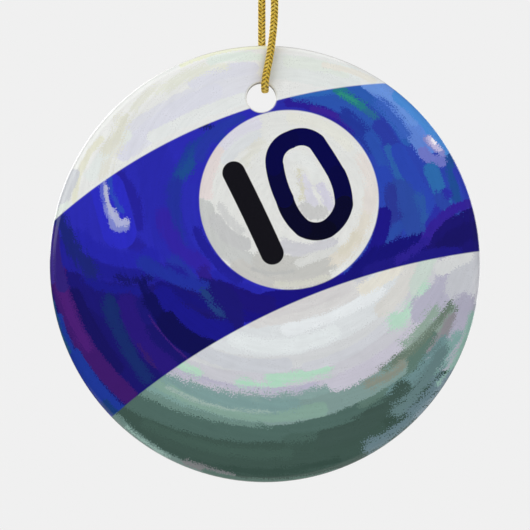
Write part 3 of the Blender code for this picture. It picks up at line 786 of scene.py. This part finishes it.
LOWER_WHITE = [
    ("#A6ABB4", 4.0, 0.4, (33.5, 3.0), (34.0, -6.0), (30.0, -14.0)),
    ("#CDCED3", 4.6, 0.3, (-12.0, -17.8), (8.0, -9.2), (34.0, -2.4)),
    ("#3F564E", 3.0, 0.7, (-24.0, -26.0), (-4.0, -32.8), (18.0, -29.0)),
    ("#4F6A63", 1.8, 1.0, (-22.6, -22.8), (-2.0, -28.3), (24.0, -20.0)),
    ("#86A29E", 2.6, 0.8, (-17.0, -19.0), (-1.0, -23.2), (20.0, -17.2)),
    ("#8A9C94", 3.0, 0.8, (16.0, -19.0), (25.4, -13.8), (31.6, -5.6)),
    ("#5E7A70", 1.5, 0.9, (16.4, -22.6), (22.8, -18.6), (28.2, -12.6)),
    ("#6E8C84", 1.2, 0.9, (-20.8, -20.8), (-10.0, -25.0), (1.0, -26.4)),
    ("#7FA19B", 0.9, 1.0, (-19.8, -20.3), (-10.4, -24.0), (0.4, -25.9)),
    ("#819B97", 1.8, 0.5, (1.0, -25.6), (12.5, -22.9), (22.4, -17.4)),
    ("#86A699", 1.2, 0.6, (-18.6, -19.4), (-5.4, -24.8), (9.4, -24.6)),
    ("#9DB4AC", 0.5, 0.6, (-16.4, -20.8), (-7.6, -24.0), (2.0, -24.6)),
    ("#7E9E9C", 1.2, 1.6, (-16.4, -19.2), (-4.8, -23.3), (4.6, -23.6)),
    ("#445D54", 0.8, 1.2, (-20.0, -27.0), (-8.0, -31.2), (4.0, -32.0)),
    ("#4A645C", 0.7, 1.4, (4.0, -29.4), (13.0, -28.2), (21.0, -24.2)),
    ("#374E46", 0.6, 1.2, (-12.0, -33.8), (0.0, -35.2), (12.0, -33.2)),
    ("#C4C1CE", 1.8, 1.6, (-16.2, -16.5), (0.6, -20.2), (23.6, -12.4)),
    ("#B9B6CA", 1.1, 1.8, (-15.2, -16.9), (-2.7, -20.2), (8.0, -20.2)),
    ("#C8C5D2", 2.0, 1.0, (12.0, -19.6), (20.5, -14.6), (27.6, -6.6)),
    ("#CBCBD2", 2.6, 0.5, (-13.6, -14.6), (3.0, -18.2), (22.4, -8.8)),
    ("#D4D6D8", 2.4, 0.4, (-13.4, -13.4), (2.4, -15.6), (21.4, -6.6)),
    ("#B6DCC6", 0.9, 1.6, (0.8, -19.2), (5.6, -18.8), (10.4, -17.4)),
    ("#B8DCC6", 0.5, 1.4, (-15.4, -16.4), (-13.4, -17.4), (-11.4, -18.2)),
    ("#B2DCC4", 0.5, 1.5, (-4.4, -19.9), (-1.0, -20.3), (3.0, -20.1)),
    ("#D0D2D8", 0.8, 0.3, (7.0, -17.4), (15.4, -14.2), (21.8, -9.0)),
    ("#CDD0D6", 1.2, 0.4, (-11.6, -14.2), (-4.6, -16.8), (3.4, -17.0)),
    ("#DCE0E2", 3.0, 0.6, (-7.4, -11.6), (7.0, -11.8), (20.4, -3.6)),
    ("#E4E9EA", 1.3, 0.9, (-5.0, -12.8), (3.6, -13.8), (11.4, -11.6)),
    ("#E8ECEE", 1.5, 0.8, (4.0, -10.6), (11.0, -8.4), (18.8, -4.4)),
    ("#DAD9D8", 1.6, 0.7, (-2.0, -9.2), (6.0, -7.8), (14.6, -4.4)),
    ("#D6D4D4", 1.1, 0.6, (1.0, -8.2), (7.8, -6.2), (13.6, -4.0)),
    ("#E6E3D8", 1.0, 1.0, (16.6, -4.2), (20.4, -2.2), (23.6, -0.6)),
    ("#D9D8D4", 1.4, 0.9, (20.0, -7.6), (22.8, -4.4), (24.6, -0.6)),
    ("#CBD8D0", 1.3, 1.0, (25.8, -4.4), (26.6, -1.4), (28.0, 1.0)),
    ("#B9DCC8", 1.2, 2.0, (21.8, -9.8), (24.7, -7.8), (27.6, -4.6)),
    ("#B6B4C6", 2.6, 1.1, (27.0, -7.8), (30.6, -4.6), (31.8, 1.0)),
    ("#C4C6CC", 2.4, 1.0, (33.0, -4.0), (33.6, -1.0), (35.0, 2.0)),
    ("#D6D8D8", 1.4, 0.9, (30.0, -0.6), (32.0, 0.6), (34.0, 1.6)),
    ("#ACAABC", 1.6, 1.2, (33.6, -6.4), (32.6, -10.6), (30.6, -14.0)),
    ("#6C7E70", 0.75, 1.6, (20.6, -18.0), (27.4, -11.6), (31.2, -7.4)),
    ("#93A99C", 0.8, 1.5, (23.6, -13.4), (26.4, -10.8), (28.6, -8.0)),
    ("#8D8A90", 0.8, 1.1, (28.0, -14.8), (30.0, -12.0), (31.4, -9.2)),
    ("#8A9084", 0.7, 1.6, (17.6, -20.4), (20.5, -19.0), (23.4, -17.0)),
    ("#6E8E90", 1.2, 1.4, (21.6, -22.0), (26.4, -18.2), (30.2, -13.4)),
    ("#7FA39F", 0.9, 1.6, (25.6, -21.4), (29.2, -17.6), (32.6, -11.8)),
    ("#40564F", 1.4, 1.2, (10.0, -29.4), (17.8, -26.2), (23.6, -21.2)),
    ("#647F80", 1.1, 1.8, (22.6, -24.8), (26.2, -20.8), (29.8, -15.0)),
    ("#688088", 1.0, 1.8, (17.6, -31.2), (24.4, -26.0), (30.0, -19.0)),
    ("#8FB3A8", 0.9, 0.9, (30.0, -20.4), (33.2, -15.2), (35.4, -9.0)),
    ("#7E929C", 0.5, 1.0, (25.8, -25.6), (28.8, -22.4), (31.4, -18.4)),
    ("#6B8680", 0.7, 0.6, (-25.4, -25.6), (-18.9, -31.3), (-10.6, -35.2)),
    ("#8FAFA6", 0.25, 0.7, (-23.4, -27.6), (-20.0, -30.4), (-16.4, -32.8)),
    ("#7A7C7E", 0.5, 0.9, (-13.4, -33.6), (-9.6, -34.8), (-5.4, -35.9)),
    ("#4F6C62", 0.7, 0.6, (-10.0, -35.4), (1.0, -37.0), (12.0, -35.2)),
]

# The number, drawn with a round brush. The nought is a ring of eight short arcs.
NUMBER_ONE = [("#121118", 1.95, 0.0, (-5.18, 15.45), (-1.94, 8.66), (1.30, 1.87))]
NUMBER_NOUGHT = [
    ("#02024A", 1.48, 0.0, (4.25, 20.99), (6.08, 21.51), (8.71, 20.56)),
    ("#02024A", 1.48, 0.0, (8.71, 20.56), (10.61, 17.69), (12.16, 15.11)),
    ("#020242", 1.53, 0.0, (12.16, 15.11), (13.10, 12.30), (13.34, 10.04)),
    ("#04042C", 1.53, 0.0, (13.34, 10.04), (12.33, 7.67), (10.50, 5.94)),
    ("#040420", 1.53, 0.0, (10.50, 5.94), (8.41, 5.51), (6.47, 6.06)),
    ("#040428", 1.53, 0.0, (6.47, 6.06), (4.76, 7.90), (3.32, 11.01)),
    ("#03033A", 1.53, 0.0, (3.32, 11.01), (2.20, 13.92), (1.64, 16.51)),
    ("#020246", 1.50, 0.0, (1.64, 16.51), (1.95, 19.05), (4.25, 20.99)),
]

# The picture's big shapes: circles, with their centres and radii. The stripe lies inside the first and
# outside the second.
STRIPE_TOP = ((25.57, -61.14), 91.86)
STRIPE_BOTTOM = ((51.59, -114.84), 118.00)
ROUNDEL_CIRCLE = ((4.06, 10.85), 15.16)
SHAPE_SOFTNESS = 0.10
STROKE_SOFTNESS = 0.10
# A straighter stroke bends with this radius. A way shorter than the next is no way at all.
LONGEST_RADIUS = 300.0
SHORTEST_WAY = 1e-6

# The print's grain, in marks to the millimetre. Bristle marks run round their own centre.
SPECKS_TO_A_MM = 4.2
PATCHES_TO_A_MM = 0.42
BRISTLES_TO_A_MM = 1.6
BRISTLES_TO_A_RADIAN = 3.2
BRISTLES_CENTRE = (4.0, 9.0)

# The print fades out between these depths behind the flat face, and between these margins, in millimetres,
# outside the hole's wall.
PRINT_FADES = (0.00060, 0.00110)
PRINT_TO_HOLE = (0.02, 0.26)


def arc_of(start, via, end):
    """The circle through three points: its centre, its radius, the way to the arc's middle, and half the
    arc's angle."""
    (ax, az), (bx, bz), (cx, cz) = start, via, end
    turn = 2 * (ax * (bz - cz) + bx * (cz - az) + cx * (az - bz))
    chord = Vector((cx - ax, cz - az))
    if abs(turn) < chord.length_squared / LONGEST_RADIUS:
        middle = Vector(((ax + cx) / 2, (az + cz) / 2))
        way = Vector((-chord.y, chord.x)).normalized()
        return middle - way * LONGEST_RADIUS, LONGEST_RADIUS, way, chord.length / 2 / LONGEST_RADIUS
    a2, b2, c2 = ax * ax + az * az, bx * bx + bz * bz, cx * cx + cz * cz
    centre = Vector(
        (
            (a2 * (bz - cz) + b2 * (cz - az) + c2 * (az - bz)) / turn,
            (a2 * (cx - bx) + b2 * (ax - cx) + c2 * (bx - ax)) / turn,
        )
    )
    first = Vector(start) - centre
    last = Vector(end) - centre
    mid = Vector(via) - centre
    sweep = first.angle(mid) + mid.angle(last)
    way = first.normalized() + last.normalized()
    if way.length < SHORTEST_WAY:
        way = mid
    elif way.dot(mid) < 0:
        way = -way
    return centre, first.length, way.normalized(), sweep / 2


def stroke_group():
    """A brush stroke along an arc, laid over a colour."""
    group = bpy.data.node_groups.new("brush_stroke", "ShaderNodeTree")
    for kind, names in (
        ("NodeSocketColor", ("Under", "Colour")),
        ("NodeSocketVector", ("Place", "Centre", "Middle", "Beside")),
        ("NodeSocketFloat", ("Grain", "Radius", "Half Angle", "Half Width", "Ragged")),
    ):
        for name in names:
            group.interface.new_socket(name, in_out="INPUT", socket_type=kind)
    group.interface.new_socket("Colour", in_out="OUTPUT", socket_type="NodeSocketColor")
    given = add(group, "NodeGroupInput").outputs
    from_centre = vector_maths(group, "SUBTRACT", given["Place"], given["Centre"])
    ahead = vector_maths(group, "DOT_PRODUCT", from_centre, given["Middle"])
    beside = vector_maths(group, "DOT_PRODUCT", from_centre, given["Beside"])
    turned = maths(group, "ABSOLUTE", maths(group, "ARCTAN2", beside, ahead))
    # How far a point lies past the arc's ends, measured round its circle, and how far to one side of it.
    past = maths(group, "MAXIMUM", maths(group, "SUBTRACT", turned, given["Half Angle"]), 0.0)
    past = maths(group, "MULTIPLY", past, given["Radius"])
    aside = maths(group, "SUBTRACT", vector_maths(group, "LENGTH", from_centre), given["Radius"])
    from_arc = add(group, "ShaderNodeCombineXYZ", {0: past, 1: aside}).outputs[0]
    beyond = maths(group, "SUBTRACT", vector_maths(group, "LENGTH", from_arc), given["Half Width"])
    beyond = maths(group, "MULTIPLY_ADD", given["Grain"], given["Ragged"], beyond)
    cover = ranged(group, beyond, -STROKE_SOFTNESS / 2, STROKE_SOFTNESS / 2, 1.0, 0.0)
    add(group, "NodeGroupOutput", {0: laid_over(group, cover, given["Under"], given["Colour"])})
    return group


def paint(tree, group, place, grain, under, strokes):
    """Lays the strokes over a colour, in their order."""
    for colour, half_width, ragged, start, via, end in strokes:
        centre, radius, way, half_angle = arc_of(start, via, end)
        under = add(
            tree,
            "ShaderNodeGroup",
            {
                "Under": under,
                "Colour": linear(colour),
                "Place": place,
                "Grain": grain,
                "Centre": (centre.x, 0, centre.y),
                "Middle": (way.x, 0, way.y),
                "Beside": (-way.y, 0, way.x),
                "Radius": radius,
                "Half Angle": half_angle,
                "Half Width": half_width,
                "Ragged": ragged,
            },
            node_tree=group,
        ).outputs[0]
    return under


def inside_circle(tree, place, circle):
    """1 inside a circle of the print and 0 outside it, with an edge as soft as a printed one."""
    (x, z), radius = circle
    away = vector_maths(tree, "DISTANCE", place, (x, 0, z))
    return ranged(tree, away, radius - SHAPE_SOFTNESS, radius + SHAPE_SOFTNESS, 1.0, 0.0)


def print_colour(tree, place):
    """The painting: a striped ball's face with its number, in broad opaque strokes with dry ragged edges."""
    # Paint grain: specks a quarter of a millimetre across, and patches of about 2 mm.
    fine = add(
        tree,
        "ShaderNodeTexNoise",
        {"Vector": place, "Scale": SPECKS_TO_A_MM, "Detail": 1.0, "Roughness": 0.6},
    ).outputs[0]
    patches = add(
        tree, "ShaderNodeTexNoise", {"Vector": place, "Scale": PATCHES_TO_A_MM, "Detail": 1.0}
    ).outputs[0]
    # Bristle marks: long thin streaks round the ball's own middle, 0.6 mm apart.
    x, z = BRISTLES_CENTRE
    from_middle = vector_maths(tree, "SUBTRACT", place, (x, 0, z))
    parts = add(tree, "ShaderNodeSeparateXYZ", {0: from_middle}).outputs
    reach = maths(tree, "MULTIPLY", vector_maths(tree, "LENGTH", from_middle), BRISTLES_TO_A_MM)
    angle = maths(tree, "MULTIPLY", maths(tree, "ARCTAN2", parts[0], parts[2]), BRISTLES_TO_A_RADIAN)
    streaks = add(tree, "ShaderNodeCombineXYZ", {0: reach, 1: angle}).outputs[0]
    bristle = add(tree, "ShaderNodeTexNoise", {"Vector": streaks, "Scale": 1.0, "Detail": 2.0}).outputs[0]
    # About 0 on the whole. Where it is above, ragged strokes wear away, and where it is below they spread.
    grain = weighted(tree, -2.5, (fine, 2.6), (patches, 1.0), (bristle, 1.4))

    group = stroke_group()
    with_brush = (tree, group, place, grain)
    top = paint(*with_brush, linear("#E9EAE8"), TOP_WHITE)
    low = paint(*with_brush, linear("#3A5048"), LOWER_WHITE)
    blue = paint(*with_brush, linear("#2A2AB4"), BLUE)
    roundel = paint(*with_brush, linear("#E4E5E2"), ROUNDEL)
    colour = laid_over(tree, inside_circle(tree, place, STRIPE_TOP), top, blue)
    colour = laid_over(tree, inside_circle(tree, place, STRIPE_BOTTOM), colour, low)
    colour = laid_over(tree, inside_circle(tree, place, ROUNDEL_CIRCLE), colour, roundel)

    # The paint is a little lighter and darker with its grain, and dark dry specks gather in the patches.
    speckled = ranged(tree, fine, 0.54, 0.64)
    gathered = ranged(tree, patches, 0.44, 0.60)
    specks = maths(tree, "MULTIPLY", speckled, gathered)
    tone = weighted(tree, 0.83, (bristle, 0.16), (fine, 0.08), (patches, 0.16), (specks, -0.15))
    colour = add(tree, "ShaderNodeVectorMath", {0: colour, "Scale": tone}, operation="SCALE").outputs[0]
    # The number's edges are clean, with no grain.
    return paint(tree, group, place, 0.0, colour, NUMBER_ONE + NUMBER_NOUGHT)


def printed_glaze():
    """White glazed stoneware with a print fired into its front: a hard clear gloss over the picture, and
    plain white glaze round the edge, in the hole and on the back, mottled where it has pooled."""
    finish, tree, shader = new_material("glazed_ceramic_with_fired_print")
    point = add(tree, "ShaderNodeTexCoord").outputs["Object"]
    centre = (-DISC_CENTRE.x / MM, 0, -DISC_CENTRE.z / MM)
    place = vector_maths(tree, "MULTIPLY_ADD", point, (1 / MM, 0, 1 / MM), centre)
    picture = print_colour(tree, place)
    mottle = add(tree, "ShaderNodeTexNoise", {"Vector": point, "Scale": 260.0, "Detail": 3.0}).outputs[0]
    glaze = laid_over(tree, mottle, linear("#E9E8E3"), linear("#F4F4F1"))
    # The print ends part of the way round the edge, and just short of the hole's rounded mouth.
    y = add(tree, "ShaderNodeSeparateXYZ", {0: point}).outputs[1]
    full, gone = (depth - FACE_Y for depth in PRINT_FADES)
    on_front = ranged(tree, y, full, gone, 1.0, 0.0, interpolation="SMOOTHSTEP")
    hole = (HOLE_OFFSET_X / MM, 0, (HOLE_Z - DISC_CENTRE.z) / MM)
    from_hole = vector_maths(tree, "DISTANCE", place, hole)
    none, whole = (HOLE_DIAMETER / 2 / MM + margin for margin in PRINT_TO_HOLE)
    past_hole = ranged(tree, from_hole, none, whole, interpolation="SMOOTHSTEP")
    printed = maths(tree, "MULTIPLY", on_front, past_hole)
    tree.links.new(laid_over(tree, printed, glaze, picture), shader.inputs["Base Color"])
    # Glaze settles into waves a few millimetres long and some hundredths of a millimetre high.
    waves = add(tree, "ShaderNodeTexNoise", {"Vector": point, "Scale": 190.0, "Detail": 1.0}).outputs[0]
    bump = add(tree, "ShaderNodeBump", {"Strength": 0.25, "Distance": 0.00004, "Height": waves})
    tree.links.new(bump.outputs[0], shader.inputs["Normal"])
    shader.inputs["Roughness"].default_value = 0.16
    shader.inputs["IOR"].default_value = 1.5
    return finish


make_camera()
make_light()
make_floor()
make_cord()
make_disc()
